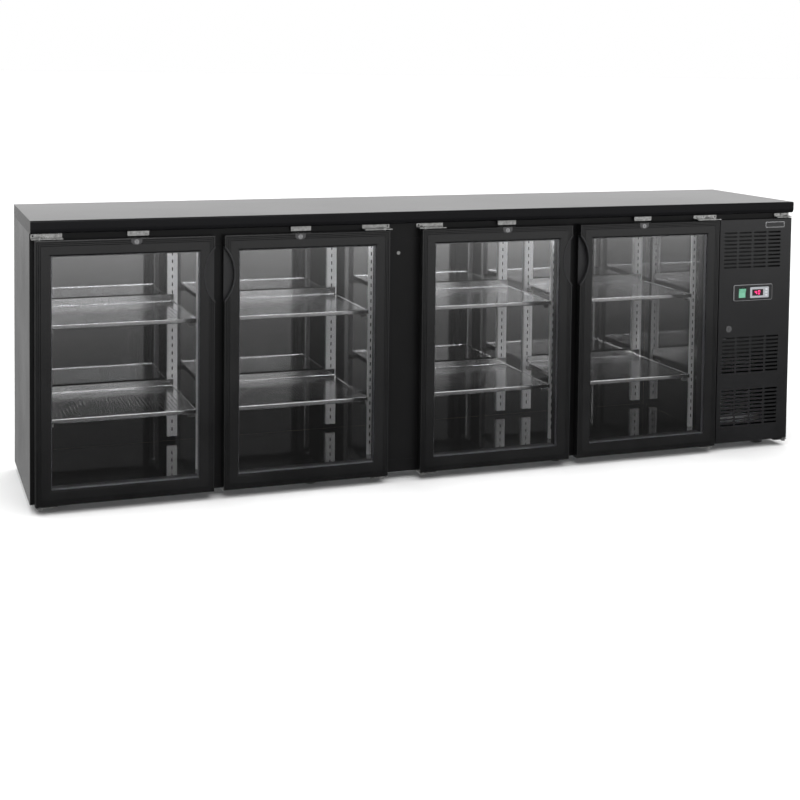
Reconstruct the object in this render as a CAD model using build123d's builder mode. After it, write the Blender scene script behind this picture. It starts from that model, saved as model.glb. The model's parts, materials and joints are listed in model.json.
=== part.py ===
"""Four-door glass-front under counter fridge (back bar cooler) with its machine compartment at the right.

Frame: +Z up, the doors face -Y, +X to the right. Origin on the floor under the middle of the whole object.
Places are worked out from the cabinet's left side, its front plane and its underside.
"""
from build123d import *
from math import cos, radians, sin
import os

os.makedirs("parts", exist_ok=True)

# ---------------------------------------------------------------- driving dimensions
width = 2542.0
body_depth = 484.0
foot_height = 24.0
body_height = 783.0
top_thickness = 38.0
top_overhang = 29.0
top_edge_radius = 5.0
top_underside_radius = 14.0
door_stand = 38.0
proud = 2.0
skin = 1.2
gap = 0.1
wall = 40.0
liner_sheet = 1.0

left = -width / 2
right = width / 2
face = door_stand + proud - (body_depth + door_stand + 2 * proud) / 2
rear = face + body_depth
base = foot_height
top = base + body_height

# cold chamber and machine compartment
chamber_left = left + wall
chamber_right = left + 2240.0
chamber_back = face + 440.0
chamber_floor = base + wall
chamber_ceiling = base + 743.0
frame_depth = 40.0
coil_space = 9.0
bulkhead_right = left + 2264.0
opening_floor = base + 39.9
opening_ceiling = base + 735.0

# doors
door_width = 518.0
door_bottom = base + 2.0
door_top = base + 765.0
door_lefts = [left + 11.0, left + 557.0, left + 1181.0, left + 1727.0]
hinge_sides = [-1, 1, -1, 1]
door_thickness = 30.0
door_front = face - door_stand
door_back = door_front + door_thickness
frame_reveal = 30.0
mitre_gap = 0.1
pane = 4.0
pane_space = 10.0
glass_inset = 37.0
glass_depth = 4.1
pin_inset = 14.0
pin_depth = 14.0
pin_radius = 4.0
pin_clearance = 0.06
pin_reach = 15.0

# handles and locks
handle_chord = 161.0
handle_rise = 31.0
handle_centre_z = base + 650.5
handle_depth = 18.0
handle_wall = 2.0
lock_radius = 7.0
lock_clearance = 0.3
lock_drop = 10.0
lock_offset = 28.0
cam_length = 24.0
cam_width = 11.0

# shelves and their supports
shelf_ends = [(58.0, 498.0), (591.0, 1046.0), (1227.0, 1682.0), (1759.0, 2214.0)]
rear_uprights = [66.0, 493.0, 593.0, 1033.0, 1236.0, 1663.0, 1763.0, 2203.0]
shelf_front = face + 80.0
shelf_back = face + 426.0
shelf_heights = {"upper": base + 503.0, "lower": base + 225.0}
shelf_sheet = 1.5
shelf_front_lip = 14.0
shelf_rear_lip = 20.0
upright_width = 32.0
upright_depth = 10.0
slot_pitch = 25.0
upright_clear_floor = 16.0
upright_clear_top = 8.0

# machine panel
panel_left = left + 2259.0
panel_right = right
panel_front = face - 20.0
panel_sheet = 1.2
panel_bottom = base + 2.0
panel_top = base + 765.0
panel_pin = (panel_right - 8.0, face - 12.0)
panel_pin_radius = 3.0
louvre_left = left + 2276.5
louvre_size = (50.0, 6.0)
louvre_pitch = (57.5, 13.0)
louvre_columns = 4
louvre_rows = 10
louvre_first_rows = [base + 719.0, base + 361.0, base + 180.0]

LOW = (Align.MIN, Align.MIN, Align.MIN)


# ---------------------------------------------------------------- helpers
def block(x_range, y_range, z_range, mode=Mode.ADD):
    """Adds a box between two corners to the part being built."""
    with Locations((x_range[0], y_range[0], z_range[0])):
        Box(
            x_range[1] - x_range[0],
            y_range[1] - y_range[0],
            z_range[1] - z_range[0],
            align=LOW,
            mode=mode,
        )


def rod(start, direction, length, radius, mode=Mode.ADD):
    """Adds a cylinder from a start point along a direction to the part being built."""
    with Locations(Plane(origin=start, z_dir=direction).location):
        Cylinder(radius, length, align=(Align.CENTER, Align.CENTER, Align.MIN), mode=mode)


def save(part, name):
    """Labels a finished piece and writes its STEP file."""
    part.label = name
    export_step(part, f"parts/{name}.step")


def mitred_bar(profile, corner, run, outward, length):
    """One side of a rectangular ring, cut at 45 degrees at both ends.

    The profile's points are (distance in from the outer edge, depth back from the corner).
    """
    run = Vector(*run)
    outward = Vector(*outward)
    depth = Vector(0, 1, 0)
    start = Vector(*corner)
    with BuildPart() as bar:
        with BuildSketch(Plane(origin=start, x_dir=outward, z_dir=run)) as section:
            with BuildLine():
                turned = 1 if section.workplanes[0].y_dir.dot(depth) > 0 else -1
                Polyline([(-inward, turned * back) for inward, back in profile], close=True)
            make_face()
        extrude(amount=length)
        split(bisect_by=Plane(origin=start + run * mitre_gap, z_dir=run + outward), keep=Keep.TOP)
        end = start + run * (length - mitre_gap)
        split(bisect_by=Plane(origin=end, z_dir=outward - run), keep=Keep.TOP)
    return bar.part


def mitred_ring(profile, x_range, z_range, front):
    """Four mitred bars round a rectangle that faces -Y, as separate solids."""
    wide = x_range[1] - x_range[0]
    tall = z_range[1] - z_range[0]
    sides = [
        ((x_range[0], front, z_range[1]), (1, 0, 0), (0, 0, 1), wide),
        ((x_range[1], front, z_range[1]), (0, 0, -1), (1, 0, 0), tall),
        ((x_range[1], front, z_range[0]), (-1, 0, 0), (0, 0, -1), wide),
        ((x_range[0], front, z_range[0]), (0, 0, 1), (-1, 0, 0), tall),
    ]
    return [mitred_bar(profile, *side) for side in sides]


# ---------------------------------------------------------------- worktop and outer case
with BuildPart() as worktop:
    block((left, right), (face - top_overhang, rear), (top, top + top_thickness))
    front_edges = worktop.edges().filter_by(Axis.X).group_by(Axis.Y)[0].sort_by(Axis.Z)
    fillet(front_edges[-1], radius=top_edge_radius)
    lower_edge = worktop.edges().filter_by(Axis.X).group_by(Axis.Y)[0].sort_by(Axis.Z)[0]
    fillet(lower_edge, radius=top_underside_radius)
    back_edge = worktop.edges().filter_by(Axis.X).group_by(Axis.Y)[-1].sort_by(Axis.Z)[-1]
    fillet(back_edge, radius=2)
save(worktop.part, "worktop")

with BuildPart() as left_side_panel:
    block((left, left + skin), (face, rear - skin - gap), (base, top))
    outer_edges = left_side_panel.faces().sort_by(Axis.X)[0].edges().filter_by(Axis.Z)
    fillet(outer_edges, radius=0.8)
save(left_side_panel.part, "left_side_panel")

with BuildPart() as right_side_panel:
    block((right - skin, right), (face, rear - skin - gap), (base, top))
    outer_edges = right_side_panel.faces().sort_by(Axis.X)[-1].edges().filter_by(Axis.Z)
    fillet(outer_edges, radius=0.8)
save(right_side_panel.part, "right_side_panel")

back_vent_x = (bulkhead_right + right) / 2
with BuildPart() as back_panel:
    block((left, right), (rear - skin, rear), (base, top))
    with BuildSketch(Plane.XZ.offset(-rear)):
        for vent_z in (base + 190, base + 600):
            with Locations((back_vent_x, vent_z)):
                with GridLocations(louvre_pitch[0], louvre_pitch[1], 4, 14):
                    SlotOverall(louvre_size[0], louvre_size[1])
        with Locations((right - 60, base + 50)):
            Circle(11.1)
    extrude(amount=skin, mode=Mode.SUBTRACT)
save(back_panel.part, "back_panel")

with BuildPart() as base_panel:
    block(
        (left + skin + gap, right - skin - gap),
        (face, rear - skin - gap),
        (base, base + skin),
    )
save(base_panel.part, "base_panel")

# ---------------------------------------------------------------- insulation and liner
outer_low = base + skin + gap
outer_high = top - gap
outer_back = rear - skin - gap
behind_frame = face + frame_depth + gap
with BuildPart() as insulation:
    full_depth = (behind_frame, outer_back)
    full_height = (outer_low, outer_high)
    block((left + skin + gap, chamber_left - liner_sheet - gap), full_depth, full_height)
    block((chamber_right + liner_sheet + gap, bulkhead_right), full_depth, full_height)
    between_walls = (chamber_left - liner_sheet, chamber_right + liner_sheet)
    coil_back = chamber_back + liner_sheet + coil_space
    block(between_walls, (coil_back + gap, outer_back), (outer_low, outer_high))
    block(between_walls, (behind_frame, coil_back), (outer_low, chamber_floor - liner_sheet - gap))
    block(between_walls, (behind_frame, coil_back), (chamber_ceiling + liner_sheet + gap, outer_high))
save(insulation.part, "insulation")

with BuildPart() as inner_liner:
    tall = (chamber_floor + gap, chamber_ceiling - gap)
    deep = (behind_frame, chamber_back)
    block((chamber_left - liner_sheet, chamber_left), deep, tall)
    block((chamber_right, chamber_right + liner_sheet), deep, tall)
    block(
        (chamber_left + gap, chamber_right - gap),
        (chamber_back + gap, chamber_back + liner_sheet),
        tall,
    )
    block((chamber_left, chamber_right), deep, (chamber_floor - liner_sheet, chamber_floor))
    block((chamber_left, chamber_right), deep, (chamber_ceiling, chamber_ceiling + liner_sheet))
    block(
        (bulkhead_right + gap, bulkhead_right + skin),
        (behind_frame, outer_back),
        (outer_low, outer_high),
    )
save(inner_liner.part, "inner_liner")

coil_radius = 4.0
coil_rows = 12
coil_pitch = 52.0
coil_reach = 1040.0
with BuildPart() as evaporator_coil:
    coil_y = chamber_back + liner_sheet + coil_radius + gap
    coil_x = (chamber_left + chamber_right) / 2
    first_row = chamber_floor + 60
    for row in range(coil_rows):
        row_z = first_row + row * coil_pitch
        rod((coil_x - coil_reach, coil_y, row_z), (1, 0, 0), 2 * coil_reach, coil_radius)
    for row in range(coil_rows - 1):
        side = 1 if row % 2 == 0 else -1
        bend_start = (coil_x + side * coil_reach, coil_y, first_row + row * coil_pitch)
        bend_axis = Axis((bend_start[0], coil_y, bend_start[2] + coil_pitch / 2), (0, 1, 0))
        with BuildSketch(Plane(origin=bend_start, z_dir=(1, 0, 0))):
            Circle(coil_radius)
        revolve(axis=bend_axis, revolution_arc=-180.0 * side)
save(evaporator_coil.part, "evaporator_coil")

# ---------------------------------------------------------------- front frame round the door openings
stile_low = opening_floor + gap
stile_high = opening_ceiling - gap
door_openings = [(x + frame_reveal, x + door_width - frame_reveal) for x in door_lefts]
inside_width = (left + skin + gap, right - skin - gap)
plug_place = (left + 1115.0, base + 690.0)
panel_stile_right = left + 2254.0
with BuildPart() as front_frame:
    frame_deep = (face, face + frame_depth)
    upright_range = (stile_low, stile_high)
    block(inside_width, frame_deep, (opening_ceiling, top - gap))
    block(inside_width, frame_deep, (outer_low, opening_floor))
    block((left + skin + gap, door_openings[0][0]), frame_deep, upright_range)
    block((door_openings[0][1], door_openings[1][0]), frame_deep, upright_range)
    block((door_openings[1][1], door_openings[2][0]), frame_deep, upright_range)
    block((door_openings[2][1], door_openings[3][0]), frame_deep, upright_range)
    block((door_openings[3][1], panel_stile_right), frame_deep, upright_range)
    block((panel_stile_right + gap, panel_stile_right + 14), (face, face + 2), upright_range)
    block((right - 20, right - skin - gap), (face, face + 20), upright_range)
    with BuildSketch(Plane(origin=(0, face, 0), x_dir=(1, 0, 0), z_dir=(0, -1, 0))):
        with Locations(plug_place):
            Circle(3.1)
    extrude(amount=-8, mode=Mode.SUBTRACT)
save(front_frame.part, "front_frame")


# ---------------------------------------------------------------- hinge brackets, strikes and screws
def front_plane(y):
    """A sketch plane that faces -Y, whose axes are X and Z."""
    return Plane(origin=(0, y, 0), x_dir=(1, 0, 0), z_dir=(0, -1, 0))


def flat_plane(z):
    """A sketch plane that faces +Z."""
    return Plane.XY.offset(z)


bracket_sheet = 3.0
top_leaf = base + 767.0
washer_radius = 7.0
door_pins = []
for door_left, side in zip(door_lefts, hinge_sides):
    edge = door_left if side < 0 else door_left + door_width
    door_pins.append((edge - side * pin_inset, door_front + pin_depth))

pins = [(x, y, -side, pin_radius, 66.0, 22.0) for (x, y), side in zip(door_pins, hinge_sides)]
pins.append((panel_pin[0], panel_pin[1], -1, panel_pin_radius, 50.0, 7.0))
bracket_leaf_height = 13.5
eyelet_radius = 2.6
with BuildPart() as hinge_brackets:
    for pin_x, pin_y, inward, radius, reach, back_reach in pins:
        outer_end = pin_x - inward * back_reach
        inner_end = pin_x + inward * reach
        x_range = (min(outer_end, inner_end), max(outer_end, inner_end))
        y_range = (pin_y - radius - 6, face - gap)
        leaf_y = (face - bracket_sheet, face - gap)
        block(x_range, y_range, (top_leaf, top_leaf + bracket_sheet))
        block(x_range, leaf_y, (top_leaf, top_leaf + bracket_leaf_height))
        rod((pin_x, pin_y, top_leaf), (0, 0, -1), pin_reach + 2, radius)
        rod((pin_x, pin_y, top_leaf), (0, 0, 1), bracket_sheet + 2.5, washer_radius)
        if back_reach > 2 * washer_radius:
            eyelet = (outer_end + inward * 6, face, top_leaf + 8)
            rod(eyelet, (0, -1, 0), 2 * bracket_sheet, eyelet_radius, mode=Mode.SUBTRACT)
        low_ends = (pin_x - inward * min(12.0, back_reach), pin_x + inward * 43.0)
        block((min(low_ends), max(low_ends)), (y_range[0], face + 42), (base - bracket_sheet, base))
        rod((pin_x, pin_y, base), (0, 0, 1), pin_reach + 2, radius)
        rod((pin_x, pin_y, base - bracket_sheet), (0, 0, 1), bracket_sheet + 1.7, washer_radius)
        with BuildSketch(flat_plane(base - bracket_sheet)):
            with Locations((pin_x, pin_y)):
                RegularPolygon(radius=7.5, side_count=6)
        extrude(amount=-6)
save(hinge_brackets.part, "hinge_brackets")

strike_front = face - 12.0
strike_sheet = 1.5
strike_shift = 9.0
strike_half = 31.5
lock_places = []
for door_left, side in zip(door_lefts, hinge_sides):
    lock_places.append((door_left + door_width / 2 - side * lock_offset, door_top - lock_drop))
with BuildPart() as lock_strikes:
    for lock_x, lock_z in lock_places:
        strike_middle = lock_x + strike_shift
        x_range = (strike_middle - strike_half, strike_middle + strike_half)
        strike_back = strike_front + strike_sheet
        block(x_range, (strike_front, strike_back), (base + 769, top - gap))
        block(x_range, (strike_back + gap, face - gap), (top - gap - strike_sheet, top - gap))
    strike_corners = lock_strikes.edges().filter_by(Axis.Y).group_by(Axis.Z)[0]
    fillet(strike_corners, radius=3)
save(lock_strikes.part, "lock_strikes")

with BuildPart() as screws:
    for pin_x, pin_y, inward, radius, reach, back_reach in pins:
        for step in (24.0, 50.0):
            start = (pin_x + inward * step, face - bracket_sheet - gap, base + 776.5)
            rod(start, (0, -1, 0), 2.0, 3.8)
        for step in (10.0, 32.0):
            start = (pin_x + inward * step, face + 30, base - bracket_sheet - gap)
            rod(start, (0, 0, -1), 2.0, 4.0)
    rod((plug_place[0], face + 7, plug_place[1]), (0, -1, 0), 7 + gap, 3.0)
    rod((plug_place[0], face - gap, plug_place[1]), (0, -1, 0), 1.5, 5.5)
    for fixing_x in (left + 30, left + 650, left + 1271, left + 1890, right - 30):
        for fixing_z in (base + 25, base + 760):
            rod((fixing_x, rear + 0.05, fixing_z), (0, 1, 0), 1.6, 4.5)
save(screws.part, "screws")

# ---------------------------------------------------------------- slotted uprights, clips and shelves
shelf_ranges = [(left + start, left + end) for start, end in shelf_ends]
rear_upright_places = [left + place for place in rear_uprights]
post_width = 15.0
post_space = 1.0
post_front = face + 84.0
post_depth = 10.0
front_posts = []
for shelf_left, shelf_right in shelf_ranges:
    front_posts.append((shelf_left - post_space - post_width / 2, 1))
    front_posts.append((shelf_right + post_space + post_width / 2, -1))
upright_low = chamber_floor + gap
upright_high = chamber_ceiling - gap
slot_count = 26
slot_size = (4.0, 12.0)
with BuildPart() as slotted_uprights:
    rear_y = (chamber_back - upright_depth, chamber_back - gap)
    for place in rear_upright_places:
        x_range = (place - upright_width / 2, place + upright_width / 2)
        block(x_range, rear_y, (upright_low + upright_clear_floor, upright_high - upright_clear_top))
    for place, inward in front_posts:
        x_range = (place - post_width / 2, place + post_width / 2)
        block(x_range, (post_front, post_front + post_depth), (upright_low, upright_high))
    slot_middle = (upright_low + upright_high) / 2
    with BuildSketch(front_plane(chamber_back - upright_depth)):
        for place in rear_upright_places:
            with Locations((place, slot_middle)):
                Rectangle(14, 800)
    extrude(amount=-3, mode=Mode.SUBTRACT)
    with BuildSketch(front_plane(chamber_back - upright_depth)):
        for place in rear_upright_places:
            with Locations((place, slot_middle)):
                with GridLocations(0, slot_pitch, 1, slot_count):
                    Rectangle(slot_size[0], slot_size[1])
    extrude(amount=-(upright_depth - 2), mode=Mode.SUBTRACT)
    with BuildSketch(front_plane(post_front)):
        for place, inward in front_posts:
            with Locations((place, slot_middle)):
                with GridLocations(0, slot_pitch, 1, slot_count):
                    Rectangle(slot_size[0], slot_size[1])
    extrude(amount=-(post_depth - 2), mode=Mode.SUBTRACT)
save(slotted_uprights.part, "slotted_uprights")

clip_drop = 12.0
clip_reach = 20.0
with BuildPart() as shelf_clips:
    for shelf_top in shelf_heights.values():
        clip_high = shelf_top - shelf_front_lip - gap
        clip_z = (clip_high - clip_drop, clip_high)
        for place in rear_upright_places:
            x_range = (place - 6, place + 6)
            block(x_range, (shelf_back - 22, chamber_back - upright_depth - gap), clip_z)
        for place, inward in front_posts:
            clip_ends = (place - inward * post_width / 2, place + inward * (post_width / 2 + clip_reach))
            clip_y = (post_front + post_depth + gap, post_front + post_depth + 12)
            block((min(clip_ends), max(clip_ends)), clip_y, clip_z)
save(shelf_clips.part, "shelf_clips")

for level, shelf_top in shelf_heights.items():
    with BuildPart() as shelves:
        for x_range in shelf_ranges:
            block(x_range, (shelf_front, shelf_back), (shelf_top - shelf_front_lip, shelf_top))
            hollow_x = (x_range[0] + shelf_sheet, x_range[1] - shelf_sheet)
            hollow_y = (shelf_front + shelf_front_lip, shelf_back - shelf_sheet)
            hollow_z = (shelf_top - shelf_front_lip, shelf_top - shelf_sheet)
            block(hollow_x, hollow_y, hollow_z, mode=Mode.SUBTRACT)
        front_edges = shelves.edges().filter_by(Axis.X).group_by(Axis.Y)[0]
        fillet(front_edges, radius=4)
        for x_range in shelf_ranges:
            lip_y = (shelf_back - shelf_sheet, shelf_back)
            block(x_range, lip_y, (shelf_top + gap, shelf_top + shelf_rear_lip))
    save(shelves.part, f"{level}_shelves")

with BuildPart() as led_lamp:
    lamp_x = (chamber_left + 60, chamber_right - 60)
    lamp_y = (face + frame_depth + 2, face + frame_depth + 24)
    block(lamp_x, lamp_y, (chamber_ceiling - 9, chamber_ceiling - gap))
    lamp_edges = led_lamp.edges().filter_by(Axis.X).group_by(Axis.Z)[0]
    fillet(lamp_edges, radius=3)
save(led_lamp.part, "led_lamp")

# ---------------------------------------------------------------- doors
rail_profile = [
    (0, 2.0), (0.6, 0.6), (2.0, 0), (5.0, 0), (5.8, 1.3), (6.6, 0), (10.0, 0), (10.8, 1.3), (11.6, 0),
    (15.0, 0), (15.8, 1.3), (16.6, 0), (40.5, 0), (43.0, 0.8), (45.0, 2.6), (45.0, 3.9), (36.0, 3.9),
    (36.0, 22.3), (45.0, 22.3), (45.0, 27.0), (42.0, 30.0), (1.0, 30.0), (0, 29.0),
]
gasket_front = door_back + gap
gasket_thickness = face - 0.3 - gasket_front
gasket_profile = [
    (25, 0), (35, 0), (35, 2.2), (37.5, 3.4), (37.5, gasket_thickness - 0.8), (36.7, gasket_thickness),
    (23.3, gasket_thickness), (22.5, gasket_thickness - 0.8), (22.5, 3.4), (25, 2.2),
]
spacer_deep = pane_space - 0.2
spacer_profile = [(39, 0), (47, 0), (48, 1), (48, spacer_deep - 1), (47, spacer_deep), (39, spacer_deep)]
arc_radius = (handle_chord**2 / 4 + handle_rise**2) / (2 * handle_rise)

for number in range(1, 5):
    door_left = door_lefts[number - 1]
    door_right = door_left + door_width
    side = hinge_sides[number - 1]
    pin_x, pin_y = door_pins[number - 1]
    lock_x, lock_z = lock_places[number - 1]
    latch_x = door_right if side < 0 else door_left
    arc_x = latch_x - side * (arc_radius - handle_rise)

    rails = mitred_ring(rail_profile, (door_left, door_right), (door_bottom, door_top), door_front)
    with BuildPart() as door_frame:
        add(rails)
        with BuildSketch(front_plane(door_front - 1)):
            with Locations((arc_x, handle_centre_z)):
                Circle(arc_radius)
        extrude(amount=-(handle_depth + 1), mode=Mode.SUBTRACT)
        with BuildSketch(front_plane(door_front - 1)):
            with Locations((lock_x, lock_z)):
                Circle(lock_radius + lock_clearance)
        extrude(amount=-(door_thickness + 2), mode=Mode.SUBTRACT)
        bore = pin_radius + pin_clearance
        rod((pin_x, pin_y, door_top + 1), (0, 0, -1), pin_reach + 2, bore, mode=Mode.SUBTRACT)
        rod((pin_x, pin_y, door_bottom - 1), (0, 0, 1), pin_reach + 2, bore, mode=Mode.SUBTRACT)
    save(door_frame.part, f"door_{number}_frame")

    with BuildPart() as door_glass:
        glass_x = (door_left + glass_inset, door_right - glass_inset)
        glass_z = (door_bottom + glass_inset, door_top - glass_inset)
        outer_y = door_front + glass_depth
        inner_y = outer_y + pane + pane_space
        block(glass_x, (outer_y, outer_y + pane), glass_z)
        block(glass_x, (inner_y, inner_y + pane), glass_z)
    save(door_glass.part, f"door_{number}_glass")

    spacer_front = door_front + glass_depth + pane + gap
    spacer_bars = mitred_ring(spacer_profile, (door_left, door_right), (door_bottom, door_top), spacer_front)
    with BuildPart() as door_spacer:
        add(spacer_bars)
    save(door_spacer.part, f"door_{number}_spacer")

    gasket_bars = mitred_ring(gasket_profile, (door_left, door_right), (door_bottom, door_top), gasket_front)
    with BuildPart() as door_gasket:
        add(gasket_bars)
    save(door_gasket.part, f"door_{number}_gasket")

    with BuildPart() as door_handle:
        with BuildSketch(front_plane(door_front)):
            with Locations((arc_x, handle_centre_z)):
                Circle(arc_radius - gap)
            with Locations((latch_x + side * handle_rise, handle_centre_z)):
                Rectangle(2 * handle_rise, 2 * handle_chord, mode=Mode.INTERSECT)
        extrude(amount=-(handle_depth - gap))
        with BuildSketch(front_plane(door_front)):
            with Locations((arc_x, handle_centre_z)):
                Circle(arc_radius + 3)
            with Locations((latch_x + side * (handle_rise + 2), handle_centre_z)):
                Rectangle(2 * handle_rise + 4, 2 * handle_chord, mode=Mode.INTERSECT)
        extrude(amount=1)
        with BuildSketch(front_plane(door_front - 1)):
            with Locations((arc_x, handle_centre_z)):
                Circle(arc_radius - handle_wall)
        extrude(amount=-(handle_depth - handle_wall + 1), mode=Mode.SUBTRACT)
    save(door_handle.part, f"door_{number}_handle")

    with BuildPart() as door_lock:
        rod((lock_x, door_front, lock_z), (0, -1, 0), proud, lock_radius)
        rod((lock_x, door_front, lock_z), (0, 1, 0), door_thickness + 0.6, lock_radius)
        rod((lock_x, door_back, lock_z), (0, 1, 0), 5.0, 4.3)
        with BuildSketch(front_plane(door_back + 1)):
            with Locations((lock_x + cam_length / 2 - cam_width / 4, lock_z)):
                SlotOverall(cam_length + cam_width / 2, cam_width - 2)
        extrude(amount=-2.5)
        with BuildSketch(front_plane(door_front - proud)):
            with Locations((lock_x, lock_z)):
                Rectangle(1.4, 7)
        extrude(amount=-3, mode=Mode.SUBTRACT)
    save(door_lock.part, f"door_{number}_lock")

# ---------------------------------------------------------------- machine panel and its controls
control_x = (left + 2317.0, left + 2466.0)
control_z = (base + 489.0, base + 540.0)
control_middle = ((control_x[0] + control_x[1]) / 2, (control_z[0] + control_z[1]) / 2)
bezel_thickness = 5.0
rocker_place = (left + 2348.0, control_middle[1])
rocker_size = (26.0, 33.0)
rocker_tilt = 8.0
rocker_boss = 0.4
rocker_boss_radius = 2.0
thermostat_place = (left + 2415.0, control_middle[1])
thermostat_frame = (74.0, 37.0)
thermostat_body = (70.0, 29.0)
display_place = (left + 2407.0, control_middle[1])
display_size = (44.0, 22.0)
button_x = left + 2441.5
button_size = (8.0, 5.5)
button_pitch = 10.0
button_names = ["button_up", "button_set", "button_down"]
button_travel = 1.0
panel_lock_place = (left + 2300.0, base + 393.0)
panel_lock_radius = 8.0
panel_cam_length = 42.0
badge_x = (left + 2437.0, left + 2512.0)
badge_z = (base + 734.0, base + 754.0)
louvre_middle_x = louvre_left + (louvre_columns * louvre_pitch[0] - (louvre_pitch[0] - louvre_size[0])) / 2

with BuildPart() as machine_panel:
    panel_back = face - 6.0
    block((panel_left, panel_right), (panel_front, panel_back), (panel_bottom, panel_top))
    front_corners = machine_panel.edges().group_by(Axis.Y)[0]
    fillet(front_corners, radius=2)
    block(
        (panel_left + panel_sheet, panel_right - panel_sheet),
        (panel_front + panel_sheet, panel_back),
        (panel_bottom + panel_sheet, panel_top - panel_sheet),
        mode=Mode.SUBTRACT,
    )
    with BuildSketch(front_plane(panel_front)):
        for first_row in louvre_first_rows:
            row_middle = first_row - (louvre_rows - 1) * louvre_pitch[1] / 2
            with Locations((louvre_middle_x, row_middle)):
                with GridLocations(louvre_pitch[0], louvre_pitch[1], louvre_columns, louvre_rows):
                    SlotOverall(louvre_size[0], louvre_size[1])
        with Locations(panel_lock_place):
            Circle(panel_lock_radius + lock_clearance)
        with Locations(rocker_place):
            Rectangle(rocker_size[0] + 4, rocker_size[1] + 6)
        with Locations(thermostat_place):
            Rectangle(thermostat_body[0] + 1, thermostat_body[1] + 1)
    extrude(amount=-2 * panel_sheet, mode=Mode.SUBTRACT)
    panel_bore = panel_pin_radius + pin_clearance
    rod((panel_pin[0], panel_pin[1], panel_top + 1), (0, 0, -1), 4, panel_bore, mode=Mode.SUBTRACT)
    rod((panel_pin[0], panel_pin[1], panel_bottom - 1), (0, 0, 1), 4, panel_bore, mode=Mode.SUBTRACT)
save(machine_panel.part, "machine_panel")

bezel_front = panel_front - bezel_thickness
with BuildPart() as control_bezel:
    block(control_x, (bezel_front, panel_front - gap), control_z)
    fillet(control_bezel.edges().filter_by(Axis.Y), radius=4)
    fillet(control_bezel.faces().sort_by(Axis.Y)[0].edges(), radius=1.5)
    with BuildSketch(front_plane(bezel_front)):
        with Locations(rocker_place):
            RectangleRounded(rocker_size[0] + 1.2, rocker_size[1] + 2.4, 1)
        with Locations(thermostat_place):
            Rectangle(thermostat_body[0] + 0.6, thermostat_body[1] + 0.6)
    extrude(amount=-bezel_thickness, mode=Mode.SUBTRACT)
save(control_bezel.part, "control_bezel")

thermostat_front = bezel_front - 2.5
with BuildPart() as thermostat:
    frame_x = (thermostat_place[0] - thermostat_frame[0] / 2, thermostat_place[0] + thermostat_frame[0] / 2)
    frame_z = (thermostat_place[1] - thermostat_frame[1] / 2, thermostat_place[1] + thermostat_frame[1] / 2)
    block(frame_x, (thermostat_front, bezel_front - gap), frame_z)
    fillet(thermostat.edges().filter_by(Axis.Y), radius=3)
    fillet(thermostat.faces().sort_by(Axis.Y)[0].edges(), radius=1)
    body_x = (thermostat_place[0] - thermostat_body[0] / 2, thermostat_place[0] + thermostat_body[0] / 2)
    body_z = (thermostat_place[1] - thermostat_body[1] / 2, thermostat_place[1] + thermostat_body[1] / 2)
    block(body_x, (bezel_front - gap, panel_front + 48), body_z)
    with BuildSketch(front_plane(thermostat_front)):
        with Locations(display_place):
            RectangleRounded(display_size[0], display_size[1], 1.5)
    extrude(amount=-1, mode=Mode.SUBTRACT)
    with BuildSketch(front_plane(thermostat_front)):
        with Locations((button_x, thermostat_place[1])):
            with GridLocations(0, button_pitch, 1, len(button_names)):
                Rectangle(button_size[0] + 0.8, button_size[1] + 0.8)
    extrude(amount=-6, mode=Mode.SUBTRACT)
save(thermostat.part, "thermostat")

for index, name in enumerate(button_names):
    button_z = thermostat_place[1] + (1 - index) * button_pitch
    with BuildPart() as button:
        block(
            (button_x - button_size[0] / 2, button_x + button_size[0] / 2),
            (thermostat_front - 0.8, thermostat_front + 4),
            (button_z - button_size[1] / 2, button_z + button_size[1] / 2),
        )
        fillet(button.faces().sort_by(Axis.Y)[0].edges(), radius=0.5)
    save(button.part, name)

rocker_pivot = (rocker_place[0], bezel_front + 6.0, rocker_place[1])
with BuildPart() as rocker_switch:
    half_tall = rocker_size[1] / 2 - 1
    rocker_left = rocker_place[0] - rocker_size[0] / 2
    rocker_outline = [
        (-half_tall, 7.5), (0, 5.0), (half_tall, 7.5), (half_tall - 2, -3.0), (-half_tall + 2, -3.0),
    ]
    turned = []
    for along, out in rocker_outline:
        turned_z = along * cos(radians(rocker_tilt)) - out * sin(radians(rocker_tilt))
        turned_out = along * sin(radians(rocker_tilt)) + out * cos(radians(rocker_tilt))
        turned.append((rocker_pivot[1] - turned_out, rocker_pivot[2] + turned_z))
    with BuildSketch(Plane.YZ.offset(rocker_left)):
        with BuildLine():
            Polyline(turned, close=True)
        make_face()
    extrude(amount=rocker_size[0])
    fillet(rocker_switch.edges().filter_by(Axis.X).group_by(Axis.Y)[0], radius=1)
    pivot_start = (rocker_left - rocker_boss, rocker_pivot[1], rocker_pivot[2])
    rod(pivot_start, (1, 0, 0), rocker_size[0] + 2 * rocker_boss, rocker_boss_radius)
save(rocker_switch.part, "rocker_switch")

lock_x, lock_z = panel_lock_place
with BuildPart() as panel_lock:
    rod((lock_x, panel_front - 0.3, lock_z), (0, -1, 0), 2.0, 11.0)
    rod((lock_x, panel_front - 0.3, lock_z), (0, 1, 0), 22.0, panel_lock_radius)
    rod((lock_x, face + 0.5, lock_z), (0, 1, 0), 8.0, 4.5)
    with BuildSketch(front_plane(face + 4)):
        with Locations((lock_x, lock_z - panel_cam_length / 2 + 5)):
            SlotOverall(panel_cam_length + 10, 16, rotation=90)
    extrude(amount=-2.5)
    with BuildSketch(front_plane(panel_front - 2.3)):
        with Locations((lock_x, lock_z)):
            Rectangle(2, 12)
    extrude(amount=-1.5, mode=Mode.SUBTRACT)
save(panel_lock.part, "panel_lock")

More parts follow.
